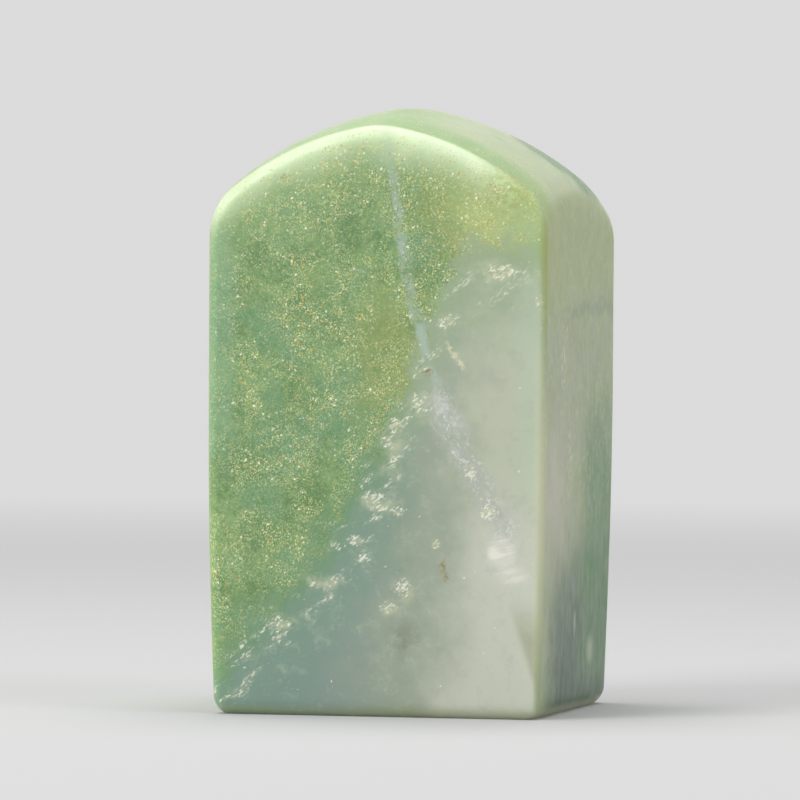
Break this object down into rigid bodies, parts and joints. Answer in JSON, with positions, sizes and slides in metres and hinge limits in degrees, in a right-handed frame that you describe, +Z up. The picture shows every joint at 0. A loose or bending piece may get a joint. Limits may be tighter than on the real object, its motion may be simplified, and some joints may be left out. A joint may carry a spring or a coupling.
{
  "type": "seal stamp",
  "caption": "Square-section polished stone seal blank with an arched, crowned head, rounded edges and a flat uncarved sealing face.",
  "frame": {"origin": "middle of the flat sealing face that the seal stands on", "axes": "+Z up the pillar to the arched head, +X to the right of the front face and across the arch, +Y from the front face to the back"},
  "size_m": [0.025, 0.025, 0.044],
  "materials": {
    "stone": "hand polished, waxy, slightly translucent; green with fine mica on one side and pale grey-white on the other"
  },
  "bodies": {
    "root": {"seal_body": "stone"}
  },
  "joints": []
}
